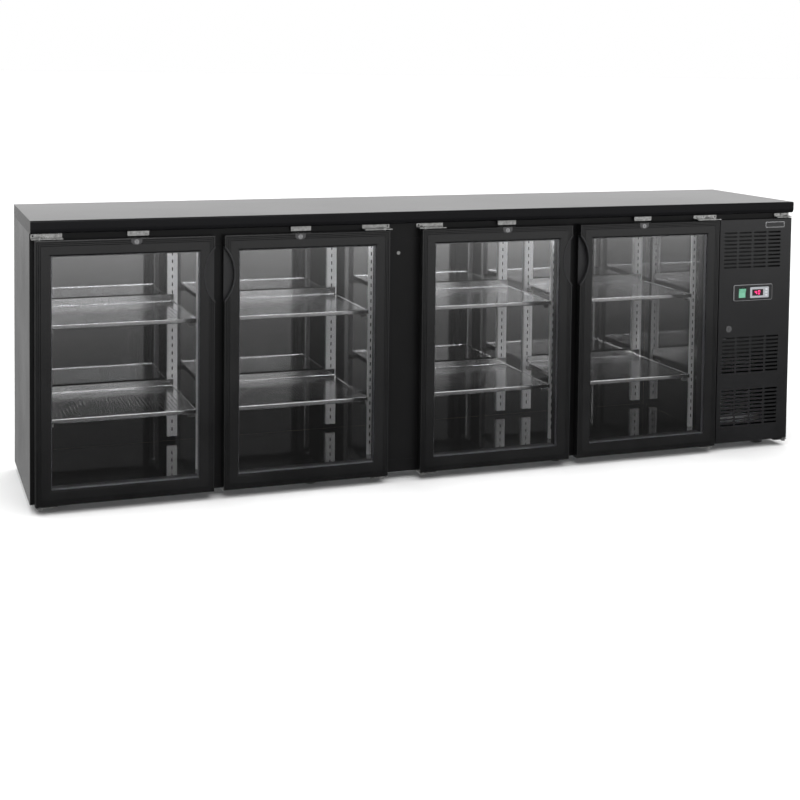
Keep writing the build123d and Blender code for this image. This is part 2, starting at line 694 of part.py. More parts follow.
with BuildPart() as badge_plate:
    block(badge_x, (panel_front - 1.3, panel_front - gap), badge_z)
    fillet(badge_plate.edges().filter_by(Axis.Y), radius=3)
    fillet(badge_plate.faces().sort_by(Axis.Y)[0].edges(), radius=0.5)
save(badge_plate.part, "badge_plate")

# ---------------------------------------------------------------- cooling machine
machine_x = louvre_middle_x
condenser_width = 214.0
condenser_y = (face + 60.0, face + 100.0)
condenser_z = (base + 60.0, base + 270.0)
condenser_lip_z = base + 56.0
tube_radius = 4.5
fin_pitch = 6.0
tube_rows = 8
with BuildPart() as condenser:
    half_wide = condenser_width / 2
    end_y = (condenser_y[0] - 4, condenser_y[1] + 4)
    end_z = (base + skin + gap, condenser_z[1] + 6)
    for end_x in (machine_x - half_wide, machine_x + half_wide - 2):
        block((end_x, end_x + 2), end_y, end_z)
    block(
        (machine_x - half_wide, machine_x + half_wide),
        (condenser_y[0] - 22, condenser_y[0] - 4),
        (condenser_lip_z, condenser_lip_z + 3),
    )
    block(
        (machine_x - half_wide, machine_x + half_wide),
        (condenser_y[0] - 5.5, condenser_y[0] - 4),
        (condenser_lip_z, condenser_z[0] + 12),
    )
    fins = int(condenser_width / fin_pitch) - 1
    fin_middle = (machine_x, sum(condenser_y) / 2, sum(condenser_z) / 2)
    with Locations(fin_middle):
        with GridLocations(fin_pitch, 0, fins, 1):
            Box(0.8, condenser_y[1] - condenser_y[0], condenser_z[1] - condenser_z[0])
    tube_pitch = (condenser_z[1] - condenser_z[0]) / tube_rows
    for row in range(tube_rows):
        tube_z = condenser_z[0] + (row + 0.5) * tube_pitch
        for tube_y in (condenser_y[0] + 10, condenser_y[1] - 10):
            rod((machine_x - half_wide - 6, tube_y, tube_z), (1, 0, 0), condenser_width + 12, tube_radius)
save(condenser.part, "condenser")

fan_place = (machine_x, sum(condenser_z) / 2)
fan_radius = 84.0
orifice_radius = 90.0
shroud_y = condenser_y[1] + 4 + gap
fan_y = shroud_y + 12.0
with BuildPart() as fan_shroud:
    block((machine_x - half_wide, machine_x + half_wide), (shroud_y, shroud_y + 1.5), condenser_z)
    rod((fan_place[0], shroud_y, fan_place[1]), (0, 1, 0), 24, orifice_radius + 1.5)
    rod((fan_place[0], shroud_y - 1, fan_place[1]), (0, 1, 0), 27, orifice_radius, mode=Mode.SUBTRACT)
save(fan_shroud.part, "fan_shroud")

hub_radius = 24.0
blade_count = 5
blade_pitch = 28.0
with BuildPart() as fan_blade:
    rod((fan_place[0], fan_y - 8, fan_place[1]), (0, 1, 0), 18, hub_radius)
    for blade in range(blade_count):
        turn = 360.0 / blade_count * blade
        fan_centre = (fan_place[0], fan_y + 1, fan_place[1])
        blade_plane = Plane(origin=fan_centre, x_dir=(1, 0, 0), z_dir=(0, 1, 0))
        pitched = Location((0, 0, 0), (0, 0, turn)) * Location((hub_radius - 3, 0, 0), (blade_pitch, 0, 0))
        with Locations(Location(blade_plane) * pitched):
            Box(fan_radius - hub_radius, 46, 1.6, align=(Align.MIN, Align.CENTER, Align.CENTER))
    rod((fan_place[0], fan_y - 20, fan_place[1]), (0, 1, 0), 40, fan_radius, mode=Mode.INTERSECT)
    rod((fan_place[0], fan_y - 9, fan_place[1]), (0, 1, 0), 20, 3.06, mode=Mode.SUBTRACT)
save(fan_blade.part, "fan_blade")

motor_y = fan_y + 16.0
with BuildPart() as fan_motor:
    rod((fan_place[0], motor_y, fan_place[1]), (0, 1, 0), 46, 34)
    fillet(fan_motor.faces().sort_by(Axis.Y)[-1].edges(), radius=6)
    rod((fan_place[0], motor_y - 22, fan_place[1]), (0, 1, 0), 24, 3.0)
    arm_y = (motor_y + 6, motor_y + 9)
    block((machine_x - half_wide, machine_x + half_wide), arm_y, (fan_place[1] - 9, fan_place[1] + 9))
    for end_x in (machine_x - half_wide, machine_x + half_wide - 3):
        block((end_x, end_x + 3), (shroud_y + 1.5 + gap, arm_y[1]), (fan_place[1] - 9, fan_place[1] + 9))
save(fan_motor.part, "fan_motor")

compressor_place = (machine_x, face + 320.0)
with BuildPart() as compressor:
    foot_z = base + skin + gap
    with BuildSketch(flat_plane(foot_z + 22)):
        with Locations(compressor_place):
            Ellipse(88, 72)
    extrude(amount=150)
    fillet(compressor.faces().sort_by(Axis.Z)[-1].edges(), radius=40)
    fillet(compressor.faces().sort_by(Axis.Z)[0].edges(), radius=12)
    with BuildSketch(flat_plane(foot_z + 75)):
        with Locations(compressor_place):
            Ellipse(92, 76)
    extrude(amount=6)
    block(
        (compressor_place[0] - 95, compressor_place[0] + 95),
        (compressor_place[1] - 60, compressor_place[1] + 60),
        (foot_z + 18, foot_z + 22),
    )
    with Locations((compressor_place[0], compressor_place[1], foot_z)):
        with GridLocations(164, 96, 2, 2):
            Cylinder(13, 18, align=(Align.CENTER, Align.CENTER, Align.MIN))
save(compressor.part, "compressor")

with BuildPart() as refrigerant_pipes:
    pipe_radius = 3.2
    pipe_low = foot_z + 140
    with BuildLine() as suction_path:
        FilletPolyline(
            (compressor_place[0] + 60, compressor_place[1] + 95, pipe_low),
            (compressor_place[0] + 60, compressor_place[1] + 95, base + 470),
            (compressor_place[0] - 60, compressor_place[1] + 95, base + 470),
            (compressor_place[0] - 60, compressor_place[1] + 95, base + 620),
            radius=30,
        )
    with BuildSketch(flat_plane(pipe_low)):
        with Locations((compressor_place[0] + 60, compressor_place[1] + 95)):
            Circle(pipe_radius)
    sweep()
    with BuildLine() as liquid_path:
        FilletPolyline(
            (machine_x - half_wide - 12, condenser_y[1] + 45, base + 60),
            (machine_x - half_wide - 12, condenser_y[1] + 45, base + 420),
            (machine_x - half_wide - 12, face + 400, base + 420),
            radius=35,
        )
    with BuildSketch(flat_plane(base + 60)):
        with Locations((machine_x - half_wide - 12, condenser_y[1] + 45)):
            Circle(pipe_radius)
    sweep()
    rod((machine_x - half_wide + 20, face + 300, base + 330), (0, 0, 1), 110, 11)
    rod((machine_x - half_wide + 20, face + 300, base + 300), (0, 0, 1), 170, pipe_radius)
save(refrigerant_pipes.part, "refrigerant_pipes")

with BuildPart() as electrical_box:
    block(
        (bulkhead_right + skin + gap, bulkhead_right + 66),
        (face + 120, face + 290),
        (base + 560, base + 690),
    )
    fillet(electrical_box.faces().sort_by(Axis.X)[-1].edges(), radius=4)
save(electrical_box.part, "electrical_box")

with BuildPart() as drain_pan:
    pan_x = (machine_x - 96, machine_x + 96)
    pan_y = (face + 250, face + 390)
    pan_z = (base + 174, base + 210)
    block(pan_x, pan_y, pan_z)
    block(
        (pan_x[0] + 1.5, pan_x[1] - 1.5),
        (pan_y[0] + 1.5, pan_y[1] - 1.5),
        (pan_z[0] + 1.5, pan_z[1]),
        mode=Mode.SUBTRACT,
    )
save(drain_pan.part, "drain_pan")

gland_place = (right - 60, base + 50)
with BuildPart() as cable_gland:
    rod((gland_place[0], rear + proud, gland_place[1]), (0, -1, 0), proud - gap, 15)
    rod((gland_place[0], rear + proud, gland_place[1]), (0, -1, 0), 18, 11)
    fillet(cable_gland.faces().sort_by(Axis.Y)[-1].edges(), radius=1)
    rod((gland_place[0], rear + proud + 1, gland_place[1]), (0, -1, 0), 20, 4.5, mode=Mode.SUBTRACT)
save(cable_gland.part, "cable_gland")

with BuildPart() as feet:
    foot_xs = [left + 70, left + 850, left + 1690, right - 70]
    for foot_x in foot_xs:
        for foot_y in (face + 60, rear - 60):
            rod((foot_x, foot_y, 0), (0, 0, 1), 7, 22)
            rod((foot_x, foot_y, 7), (0, 0, 1), base - 7 - gap, 15)
    fillet(feet.edges().filter_by(GeomType.CIRCLE).group_by(Axis.Z)[0], radius=1.5)
save(feet.part, "feet")
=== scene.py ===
"""Looks of a four-door under counter fridge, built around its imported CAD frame.

All lengths are in metres in the row frame: +X along the front, the doors face -Y, +Z up.
"""

import json
import math

import bmesh
import bpy
from mathutils import Matrix, Vector


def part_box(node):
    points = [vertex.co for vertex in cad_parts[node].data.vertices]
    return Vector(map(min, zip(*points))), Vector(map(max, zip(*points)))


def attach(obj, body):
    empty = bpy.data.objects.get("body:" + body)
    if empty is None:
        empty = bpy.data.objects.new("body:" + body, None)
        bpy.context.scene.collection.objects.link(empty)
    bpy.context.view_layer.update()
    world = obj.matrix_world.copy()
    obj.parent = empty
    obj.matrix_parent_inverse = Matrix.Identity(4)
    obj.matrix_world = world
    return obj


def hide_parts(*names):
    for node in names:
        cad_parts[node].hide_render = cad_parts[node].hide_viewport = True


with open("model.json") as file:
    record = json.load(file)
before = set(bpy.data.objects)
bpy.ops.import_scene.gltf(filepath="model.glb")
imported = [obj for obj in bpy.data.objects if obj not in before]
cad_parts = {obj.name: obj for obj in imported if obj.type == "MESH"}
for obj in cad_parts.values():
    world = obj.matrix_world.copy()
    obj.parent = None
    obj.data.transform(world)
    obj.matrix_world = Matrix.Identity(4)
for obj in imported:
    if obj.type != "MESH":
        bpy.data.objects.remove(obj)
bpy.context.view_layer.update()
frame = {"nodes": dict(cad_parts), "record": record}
nodes = frame["nodes"]
DOORS = ("door_1", "door_2", "door_3", "door_4")

scene = bpy.context.scene
scene.view_settings.view_transform = "Standard"
scene.view_settings.look = "None"


# ---------------------------------------------------------------- small helpers
def solids(node):
    """The (lowest, highest) corners of each separate solid of a CAD node, from left to right."""
    mesh = bmesh.new()
    mesh.from_mesh(nodes[node].data)
    bmesh.ops.remove_doubles(mesh, verts=mesh.verts, dist=1e-6)
    found = []
    waiting = set(mesh.verts)
    while waiting:
        start = waiting.pop()
        group = [start]
        stack = [start]
        while stack:
            for edge in stack.pop().link_edges:
                for vert in edge.verts:
                    if vert in waiting:
                        waiting.remove(vert)
                        group.append(vert)
                        stack.append(vert)
        low = Vector([min(v.co[i] for v in group) for i in range(3)])
        high = Vector([max(v.co[i] for v in group) for i in range(3)])
        found.append((low, high))
    mesh.free()
    return sorted(found, key=lambda box: (round(box[0].x, 4), round(box[0].z, 4), box[0].y))


def piece(name, mesh, body, material, smooth=False):
    """Turns a bmesh into a named piece that rides on a CAD body."""
    data = bpy.data.meshes.new(name)
    mesh.to_mesh(data)
    mesh.free()
    if smooth:
        data.shade_smooth()
    made = bpy.data.objects.new(name, data)
    scene.collection.objects.link(made)
    data.materials.append(material)
    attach(made, body)
    return made


def rounded_plate(mesh, centre, size, radius, segments=5):
    """Adds a plate that faces -Y, with rounded corners, to a bmesh. size is (wide, thick, tall)."""
    wide, thick, tall = size
    outline = []
    for turn, (side_x, side_z) in enumerate(((1, 1), (-1, 1), (-1, -1), (1, -1))):
        corner_x = centre[0] + side_x * (wide / 2 - radius)
        corner_z = centre[2] + side_z * (tall / 2 - radius)
        for step in range(segments + 1):
            angle = math.pi / 2 * (turn + step / segments)
            outline.append((corner_x + radius * math.cos(angle), corner_z + radius * math.sin(angle)))
    front = [mesh.verts.new((x, centre[1] - thick / 2, z)) for x, z in outline]
    back = [mesh.verts.new((x, centre[1] + thick / 2, z)) for x, z in outline]
    mesh.faces.new(front)
    mesh.faces.new(list(reversed(back)))
    for index in range(len(outline)):
        after = (index + 1) % len(outline)
        mesh.faces.new((front[after], front[index], back[index], back[after]))


# ---------------------------------------------------------------- materials
def link(tree, source, target):
    tree.links.new(source, target)


def noise(tree, coordinates, scale, detail=3.0, stretch=(1.0, 1.0, 1.0)):
    """The value of a noise texture over the object's own coordinates."""
    mapping = tree.nodes.new("ShaderNodeMapping")
    mapping.inputs["Scale"].default_value = stretch
    link(tree, coordinates, mapping.inputs["Vector"])
    texture = tree.nodes.new("ShaderNodeTexNoise")
    texture.inputs["Scale"].default_value = scale
    texture.inputs["Detail"].default_value = detail
    link(tree, mapping.outputs["Vector"], texture.inputs["Vector"])
    return texture.outputs["Fac"]


def cells(tree, coordinates, scale):
    """The random colour of each cell of a Voronoi texture."""
    texture = tree.nodes.new("ShaderNodeTexVoronoi")
    texture.inputs["Scale"].default_value = scale
    link(tree, coordinates, texture.inputs["Vector"])
    return texture


def spread(tree, value, low, high):
    """A value from 0 to 1 spread over low to high."""
    node = tree.nodes.new("ShaderNodeMapRange")
    node.inputs["From Min"].default_value = 0.3
    node.inputs["From Max"].default_value = 0.7
    node.inputs["To Min"].default_value = low
    node.inputs["To Max"].default_value = high
    link(tree, value, node.inputs["Value"])
    return node.outputs["Result"]


def blend_colours(tree, value, first, second):
    """A colour between two others, by a value that swings round 0.5."""
    ramp = tree.nodes.new("ShaderNodeValToRGB")
    ramp.color_ramp.elements[0].position = 0.3
    ramp.color_ramp.elements[0].color = (*first, 1)
    ramp.color_ramp.elements[1].position = 0.7
    ramp.color_ramp.elements[1].color = (*second, 1)
    link(tree, value, ramp.inputs["Fac"])
    return ramp.outputs["Color"]


def start_material(name):
    """A new material with its Principled shader and the object's own coordinates."""
    material = bpy.data.materials.new(name)
    material.use_nodes = True
    tree = material.node_tree
    shader = tree.nodes["Principled BSDF"]
    coordinates = tree.nodes.new("ShaderNodeTexCoord").outputs["Object"]
    return material, tree, shader, coordinates


def add_bump(tree, shader, height, strength, distance):
    bump = tree.nodes.new("ShaderNodeBump")
    bump.inputs["Strength"].default_value = strength
    bump.inputs["Distance"].default_value = distance
    link(tree, height, bump.inputs["Height"])
    link(tree, bump.outputs["Normal"], shader.inputs["Normal"])


def coated(name, dark, light, rough, grain, grain_depth, specular=0.5, cloud=6.0):
    """Paint, plastic, rubber or foam: two near colours, cloudy roughness and a fine grain."""
    material, tree, shader, coordinates = start_material(name)
    broad = noise(tree, coordinates, cloud, 4.0)
    fine = noise(tree, coordinates, grain, 2.0)
    link(tree, blend_colours(tree, broad, dark, light), shader.inputs["Base Color"])
    link(tree, spread(tree, broad, rough[0], rough[1]), shader.inputs["Roughness"])
    shader.inputs["Specular IOR Level"].default_value = specular
    add_bump(tree, shader, fine, 0.35, grain_depth)
    return material


def laminate(name, dark, light, rough, grain, grain_depth, top_gloss, edge_gloss):
    """Laminate whose banded edges are duller than its flat top."""
    material = coated(name, dark, light, rough, grain, grain_depth, top_gloss, 1.2)
    tree = material.node_tree
    facing = tree.nodes.new("ShaderNodeSeparateXYZ")
    link(tree, tree.nodes.new("ShaderNodeTexCoord").outputs["Normal"], facing.inputs["Vector"])
    gloss = tree.nodes.new("ShaderNodeMapRange")
    gloss.inputs["From Min"].default_value = 0.2
    gloss.inputs["From Max"].default_value = 0.9
    gloss.inputs["To Min"].default_value = edge_gloss
    gloss.inputs["To Max"].default_value = top_gloss
    link(tree, facing.outputs["Z"], gloss.inputs["Value"])
    link(tree, gloss.outputs["Result"], tree.nodes["Principled BSDF"].inputs["Specular IOR Level"])
    return material


def metal(name, dark, light, rough, streak, depth, stretch):
    """Bare metal with brushed or rolled streaks, which stretch lays along one direction."""
    material, tree, shader, coordinates = start_material(name)
    broad = noise(tree, coordinates, 3.0, 3.0)
    fine = noise(tree, coordinates, streak, 3.0, stretch)
    shader.inputs["Metallic"].default_value = 1.0
    link(tree, blend_colours(tree, fine, dark, light), shader.inputs["Base Color"])
    link(tree, spread(tree, broad, rough[0], rough[1]), shader.inputs["Roughness"])
    add_bump(tree, shader, fine, 0.25, depth)
    return material


def galvanised_sheet(name):
    """Zinc-dipped sheet with its spangle: crystals that differ a little in shade and gloss."""
    material, tree, shader, coordinates = start_material(name)
    crystals = cells(tree, coordinates, 150.0)
    shade = tree.nodes.new("ShaderNodeSeparateColor")
    link(tree, crystals.outputs["Color"], shade.inputs["Color"])
    colour = blend_colours(tree, shade.outputs["Red"], (0.42, 0.43, 0.44), (0.47, 0.48, 0.49))
    link(tree, colour, shader.inputs["Base Color"])
    link(tree, spread(tree, shade.outputs["Green"], 0.36, 0.44), shader.inputs["Roughness"])
    shader.inputs["Metallic"].default_value = 1.0
    add_bump(tree, shader, noise(tree, coordinates, 160.0), 0.15, 0.0002)
    return material


def pane_glass(name):
    """Clear glass that lets lamps through, with a faint trace of wiping in its gloss."""
    material, tree, shader, coordinates = start_material(name)
    smears = noise(tree, coordinates, 2.5, 3.0, (1.0, 1.0, 3.0))
    link(tree, spread(tree, smears, 0.0, 0.012), shader.inputs["Roughness"])
    shader.inputs["Base Color"].default_value = (0.945, 0.945, 0.945, 1)
    shader.inputs["Transmission Weight"].default_value = 1.0
    shader.inputs["IOR"].default_value = 1.45
    output = tree.nodes["Material Output"]
    clear = tree.nodes.new("ShaderNodeBsdfTransparent")
    clear.inputs["Color"].default_value = (0.935, 0.935, 0.935, 1)
    mix = tree.nodes.new("ShaderNodeMixShader")
    path = tree.nodes.new("ShaderNodeLightPath")
    link(tree, path.outputs["Is Shadow Ray"], mix.inputs["Fac"])
    link(tree, shader.outputs["BSDF"], mix.inputs[1])
    link(tree, clear.outputs["BSDF"], mix.inputs[2])
    link(tree, mix.outputs["Shader"], output.inputs["Surface"])
    return material


def lit(name, dark, light, glow, strength):
    """Moulded plastic with a light behind it."""
    material = coated(name, dark, light, (0.25, 0.35), 900.0, 0.0001)
    shader = material.node_tree.nodes["Principled BSDF"]
    shader.inputs["Emission Color"].default_value = (*glow, 1)
    shader.inputs["Emission Strength"].default_value = strength
    return material


# name: darker colour, lighter colour, roughness, scale of the grain, its depth, and specular level
COATINGS = {
    "case_black": ((0.005, 0.005, 0.0055), (0.007, 0.007, 0.0078), (0.2, 0.26), 700.0, 0.0002, 0.5),
    # the front frame's copy of case black is darker: painted shade for its recess between and behind the
    # doors
    "frame_black_painted_shade": ((0.004, 0.004, 0.0042), (0.006, 0.006, 0.0063), (0.3, 0.36), 700.0, 0.0002, 0.2),
    "door_black": ((0.004, 0.004, 0.0042), (0.006, 0.006, 0.0063), (0.2, 0.27), 900.0, 0.0001, 0.5),
    "gasket_rubber": ((0.012, 0.012, 0.012), (0.02, 0.02, 0.02), (0.55, 0.7), 500.0, 0.0004, 0.5),
    "black_plastic": ((0.008, 0.008, 0.009), (0.012, 0.012, 0.013), (0.34, 0.44), 1100.0, 0.0003, 0.5),
    "control_grey": ((0.3, 0.31, 0.33), (0.34, 0.35, 0.37), (0.28, 0.36), 900.0, 0.0001, 0.5),
    "button_grey": ((0.5, 0.51, 0.53), (0.56, 0.57, 0.59), (0.35, 0.45), 900.0, 0.0001, 0.5),
    "foam": ((0.72, 0.62, 0.36), (0.8, 0.7, 0.44), (0.8, 0.95), 260.0, 0.001, 0.5),
    "compressor_black": ((0.012, 0.012, 0.013), (0.02, 0.02, 0.021), (0.25, 0.35), 300.0, 0.0004, 0.5),
    "display_dark": ((0.012, 0.006, 0.008), (0.02, 0.01, 0.012), (0.08, 0.14), 300.0, 0.00005, 0.5),
    # slot_painted_shade: near-black plates that paint the shade inside the uprights' slots
    "slot_painted_shade": ((0.006, 0.006, 0.006), (0.01, 0.01, 0.01), (0.6, 0.8), 900.0, 0.0001, 0.2),
    # lock_plate: the plate's near-black lifted to dark grey, a painted sheen
    "lock_plate": ((0.03, 0.03, 0.031), (0.05, 0.05, 0.051), (0.2, 0.3), 500.0, 0.0003, 0.5),
    # control_rim_highlight: pale grey that paints the highlight on the bezel's edges
    "control_rim_highlight": ((0.2, 0.2, 0.205), (0.26, 0.26, 0.265), (0.25, 0.35), 900.0, 0.0001, 0.5),
    "badge_dark": ((0.01, 0.01, 0.011), (0.014, 0.014, 0.015), (0.2, 0.3), 700.0, 0.0001, 0.5),
}
EVEN = (1.0, 1.0, 1.0)
# name: darker colour, lighter colour, roughness, scale of the streaks, their depth, and their stretch
METALS = {
    "liner_steel": ((0.3, 0.3, 0.302), (0.34, 0.34, 0.342), (0.03, 0.06), 6.0, 0.0001, (0.4, 1.0, 1.0)),
    "shelf_steel": ((0.6, 0.6, 0.605), (0.68, 0.68, 0.685), (0.16, 0.2), 240.0, 0.00001, (0.08, 1.0, 1.0)),
    "upright_steel": ((0.9, 0.9, 0.905), (0.96, 0.96, 0.965), (0.5, 0.6), 220.0, 0.0002, (1.0, 1.0, 0.06)),
    "zinc": ((0.24, 0.24, 0.235), (0.46, 0.46, 0.455), (0.22, 0.36), 120.0, 0.0005, EVEN),
    "spacer_metal": ((0.1, 0.1, 0.11), (0.15, 0.15, 0.16), (0.4, 0.5), 300.0, 0.0002, EVEN),
    "chrome": ((0.26, 0.26, 0.265), (0.34, 0.34, 0.345), (0.12, 0.2), 200.0, 0.0001, EVEN),
    "copper": ((0.66, 0.33, 0.2), (0.78, 0.43, 0.28), (0.2, 0.34), 120.0, 0.0002, EVEN),
    "fan_metal": ((0.5, 0.51, 0.52), (0.62, 0.63, 0.64), (0.28, 0.4), 260.0, 0.0002, EVEN),
    "badge": ((0.5, 0.5, 0.51), (0.6, 0.6, 0.61), (0.2, 0.3), 500.0, 0.0001, (0.1, 1.0, 1.0)),
}
# name: darker colour, lighter colour, colour of the glow, and its strength
LIT = {
    "rocker_green": ((0.1, 0.3, 0.2), (0.15, 0.38, 0.26), (0.3, 0.8, 0.5), 0.06),
    "white_plastic": ((0.78, 0.79, 0.8), (0.84, 0.85, 0.86), (0.97, 0.98, 1.0), 14.0),
    "display_red": ((0.5, 0.02, 0.08), (0.6, 0.03, 0.12), (1.0, 0.03, 0.2), 2.2),
}
WORKTOP_COLOURS = ((0.006, 0.006, 0.0065), (0.008, 0.008, 0.0088))

MATERIALS = {name: coated(name, *values) for name, values in COATINGS.items()}
MATERIALS.update({name: metal(name, *values) for name, values in METALS.items()})
MATERIALS.update({name: lit(name, *values) for name, values in LIT.items()})
WORKTOP = (*WORKTOP_COLOURS, (0.2, 0.23), 420.0, 0.0001, 0.48, 0.06)
MATERIALS["worktop_black"] = laminate("worktop_black", *WORKTOP)
MATERIALS["galvanised"] = galvanised_sheet("galvanised")
MATERIALS["glass"] = pane_glass("glass")

# nodes whose finish differs from the rest of their material slot: the front frame takes a darker, duller
# copy of case black, painted shade for its recess behind the doors
PAINTED_SHADE_FINISHES = {"front_frame": "frame_black_painted_shade"}
for entry in frame["record"]["subparts"]:
    node = nodes[entry["node"]]
    node.data.materials.clear()
    node.data.materials.append(MATERIALS[PAINTED_SHADE_FINISHES.get(entry["node"], entry["material_slot"])])


# ---------------------------------------------------------------- perforated shelves
SHEET = 0.0012
HOLE_PITCH = 0.012
HOLE_RADIUS = 0.0031
HOLE_SIDES = 8
EDGE_MARGIN = 0.015
BEND = 0.003
BEND_STEPS = 4
RIM_WIDTH = 0.004
RIM_SLOPE = 0.002
RIM_STEP = 0.0015
FRONT_RETURN = 0.009
LEAST_TRAY_DEPTH = 0.1


def bend_points(centre, radius, start, stop):
    """Points of an arc in the Y-Z plane, from one angle to another in degrees."""
    made = []
    for step in range(BEND_STEPS + 1):
        angle = math.radians(start + (stop - start) * step / BEND_STEPS)
        made.append((centre[0] + radius * math.cos(angle), centre[1] + radius * math.sin(angle)))
    return made


def strip(mesh, profile, x_range):
    """A sheet that follows a Y-Z profile between two places along X."""
    rows = []
    for y, z in profile:
        rows.append([mesh.verts.new((x, y, z)) for x in x_range])
    for first, second in zip(rows, rows[1:]):
        mesh.faces.new((first[0], first[1], second[1], second[0]))


def perforated_deck(mesh, x_range, y_range, z):
    """A flat sheet with rows of round holes, and a plain margin round them."""
    across = int((x_range[1] - x_range[0] - 2 * EDGE_MARGIN) / HOLE_PITCH)
    along = int((y_range[1] - y_range[0] - 2 * EDGE_MARGIN) / HOLE_PITCH)
    first_x = (x_range[0] + x_range[1] - across * HOLE_PITCH) / 2
    first_y = (y_range[0] + y_range[1] - along * HOLE_PITCH) / 2
    half = HOLE_PITCH / 2
    ring = [(-1, -1), (0, -1), (1, -1), (1, 0), (1, 1), (0, 1), (-1, 1), (-1, 0)]
    for column in range(across):
        for row in range(along):
            centre_x = first_x + (column + 0.5) * HOLE_PITCH
            centre_y = first_y + (row + 0.5) * HOLE_PITCH
            outer = [mesh.verts.new((centre_x + half * i, centre_y + half * j, z)) for i, j in ring]
            inner = []
            for step in range(HOLE_SIDES):
                angle = math.radians(-135 + 45 * step)
                inner.append(mesh.verts.new((
                    centre_x + HOLE_RADIUS * math.cos(angle), centre_y + HOLE_RADIUS * math.sin(angle), z)))
            for step in range(HOLE_SIDES):
                after = (step + 1) % HOLE_SIDES
                mesh.faces.new((outer[step], outer[after], inner[after], inner[step]))
    hole_x = [first_x + index * half for index in range(2 * across + 1)]
    hole_y = [first_y + index * half for index in range(2 * along + 1)]
    for edge_y, from_y in ((y_range[0], first_y), (y_range[1], hole_y[-1])):
        for a, b in zip(hole_x, hole_x[1:]):
            corners = [(a, edge_y), (b, edge_y), (b, from_y), (a, from_y)]
            quad(mesh, corners, z)
    for edge_x, from_x in ((x_range[0], first_x), (x_range[1], hole_x[-1])):
        for a, b in zip(hole_y, hole_y[1:]):
            quad(mesh, [(edge_x, a), (from_x, a), (from_x, b), (edge_x, b)], z)
        for edge_y, from_y in ((y_range[0], first_y), (y_range[1], hole_y[-1])):
            quad(mesh, [(edge_x, edge_y), (from_x, edge_y), (from_x, from_y), (edge_x, from_y)], z)


def quad(mesh, corners, z):
    """One flat face whose normal points up."""
    area = 0.0
    for (x1, y1), (x2, y2) in zip(corners, corners[1:] + corners[:1]):
        area += x1 * y2 - x2 * y1
    ordered = corners if area > 0 else list(reversed(corners))
    mesh.faces.new([mesh.verts.new((x, y, z)) for x, y in ordered])


def shelf_sheet(low, high, rear_top):
    """A shelf pressed from one sheet: sunk deck with holes, rim, folded front and sides, rear upstand."""
    mesh = bmesh.new()
    top = high.z
    deck_z = top - RIM_STEP
    rim = RIM_WIDTH + RIM_SLOPE
    left, right = low.x + BEND, high.x - BEND
    front_y, rear_y = low.y + BEND, high.y - BEND
    perforated_deck(mesh, (left + rim, right - rim), (front_y + rim, rear_y), deck_z)
    front = [(front_y + rim, deck_z), (front_y + RIM_WIDTH, top)]
    front += bend_points((front_y, top - BEND), BEND, 90, 180)
    front += bend_points((front_y, low.z + BEND), BEND, 180, 270)
    front.append((front_y + FRONT_RETURN, low.z))
    strip(mesh, front, (right, left))
    rear = bend_points((rear_y, deck_z + BEND), BEND, 270, 360)
    rear.append((rear_y + BEND, rear_top))
    strip(mesh, rear, (left, right))
    for edge, outward in ((left, -1), (right, 1)):
        inner = [(edge - outward * rim, deck_z), (edge - outward * RIM_WIDTH, top), (edge, top)]
        outer = []
        for out, z in bend_points((0.0, top - BEND), BEND, 90, 0):
            outer.append((edge + outward * out, z))
        outer.append((edge + outward * BEND, low.z))
        for points, from_y in ((inner, front_y + rim), (outer, front_y)):
            for (x1, z1), (x2, z2) in zip(points, points[1:]):
                corners = [(x1, from_y, z1), (x1, rear_y, z1), (x2, rear_y, z2), (x2, from_y, z2)]
                mesh.faces.new([mesh.verts.new(corner) for corner in corners])
        cap = [(x, front_y + rim, z) for x, z in inner] + [(edge, front_y + rim, deck_z)]
        mesh.faces.new([mesh.verts.new(corner) for corner in cap])
    bmesh.ops.remove_doubles(mesh, verts=mesh.verts, dist=1e-5)
    bmesh.ops.recalc_face_normals(mesh, faces=mesh.faces)
    up = sum(face.normal.z * face.calc_area() for face in mesh.faces)
    if up < 0:
        bmesh.ops.reverse_faces(mesh, faces=mesh.faces)
    return mesh


for level in ("upper_shelves", "lower_shelves"):
    boxes = solids(level)
    trays = [box for box in boxes if box[1].y - box[0].y > LEAST_TRAY_DEPTH]
    lips = [box for box in boxes if box[1].y - box[0].y < LEAST_TRAY_DEPTH]
    for index, ((low, high), (_, lip_high)) in enumerate(zip(trays, lips)):
        name = f"{level[:5]}_shelf_{index + 1}"
        mesh = shelf_sheet(low, high, lip_high.z)
        sheet = piece(name, mesh, "cabinet", MATERIALS["shelf_steel"])
        thick = sheet.modifiers.new("thickness", "SOLIDIFY")
        thick.thickness = SHEET
        thick.offset = -1.0
        if index == 0:
            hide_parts(level)


# ---------------------------------------------------------------- the uprights' slots, with painted shade inside them
SLOT_PITCH = 0.025
SLOT_COUNT = 26
SLOT_SIZE = (0.0036, 0.0008, 0.0116)
REAR_CHANNEL = 0.003
SLOT_DEPTH = 0.0012
SLOT_CORNER = 0.0012


def make_slots():
    """Dark plates just inside the slots of every upright: painted shade, so that they read as open."""
    mesh = bmesh.new()
    whole_low, whole_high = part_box("slotted_uprights")
    middle_z = (whole_low.z + whole_high.z) / 2
    for low, high in solids("slotted_uprights"):
        at_rear = high.y > whole_high.y - 0.001
        slot_y = low.y + SLOT_DEPTH + (REAR_CHANNEL if at_rear else 0.0)
        for index in range(SLOT_COUNT):
            slot_z = middle_z + (index - (SLOT_COUNT - 1) / 2) * SLOT_PITCH
            rounded_plate(mesh, ((low.x + high.x) / 2, slot_y, slot_z), SLOT_SIZE, SLOT_CORNER, 3)
    piece("upright_slot_shade", mesh, "cabinet", MATERIALS["slot_painted_shade"])


make_slots()

